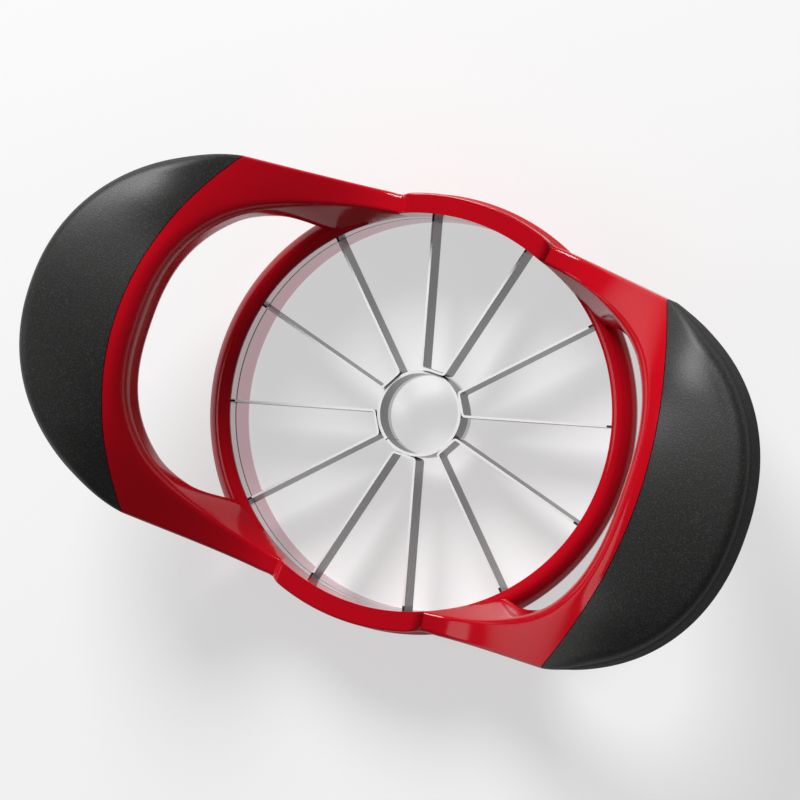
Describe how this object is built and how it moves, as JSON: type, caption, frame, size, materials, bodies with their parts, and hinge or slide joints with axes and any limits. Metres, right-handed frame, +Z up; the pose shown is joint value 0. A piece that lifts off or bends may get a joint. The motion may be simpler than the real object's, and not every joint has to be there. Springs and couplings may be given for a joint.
{
  "type": "apple slicer",
  "caption": "Push-down apple slicer and corer: radial steel blades round a core ring inside a steel hoop, in a red moulded frame with raised rubber-covered handles.",
  "frame": {"origin": "centre of the steel hoop, in the plane of the board that the hoop stands on", "axes": "+X from the left handle to the right handle, +Y across the handles, +Z up, out of the open top"},
  "size_m": [0.1994, 0.1174, 0.0636],
  "materials": {
    "red_plastic": "polished moulded ABS",
    "soft_grip": "matt soft-touch elastomer",
    "polished_steel": "polished stainless strip",
    "blade_steel": "fine ground stainless strip"
  },
  "bodies": {
    "root": {"frame": "red_plastic", "left_grip": "soft_grip", "right_grip": "soft_grip", "upper_hoop": "polished_steel", "lower_hoop": "polished_steel", "core_ring": "blade_steel", "blade_strip_1": "blade_steel", "blade_strip_2": "blade_steel", "blade_strip_3": "blade_steel", "blade_strip_4": "blade_steel", "blade_strip_5": "blade_steel", "blade_strip_6": "blade_steel"}
  },
  "joints": []
}
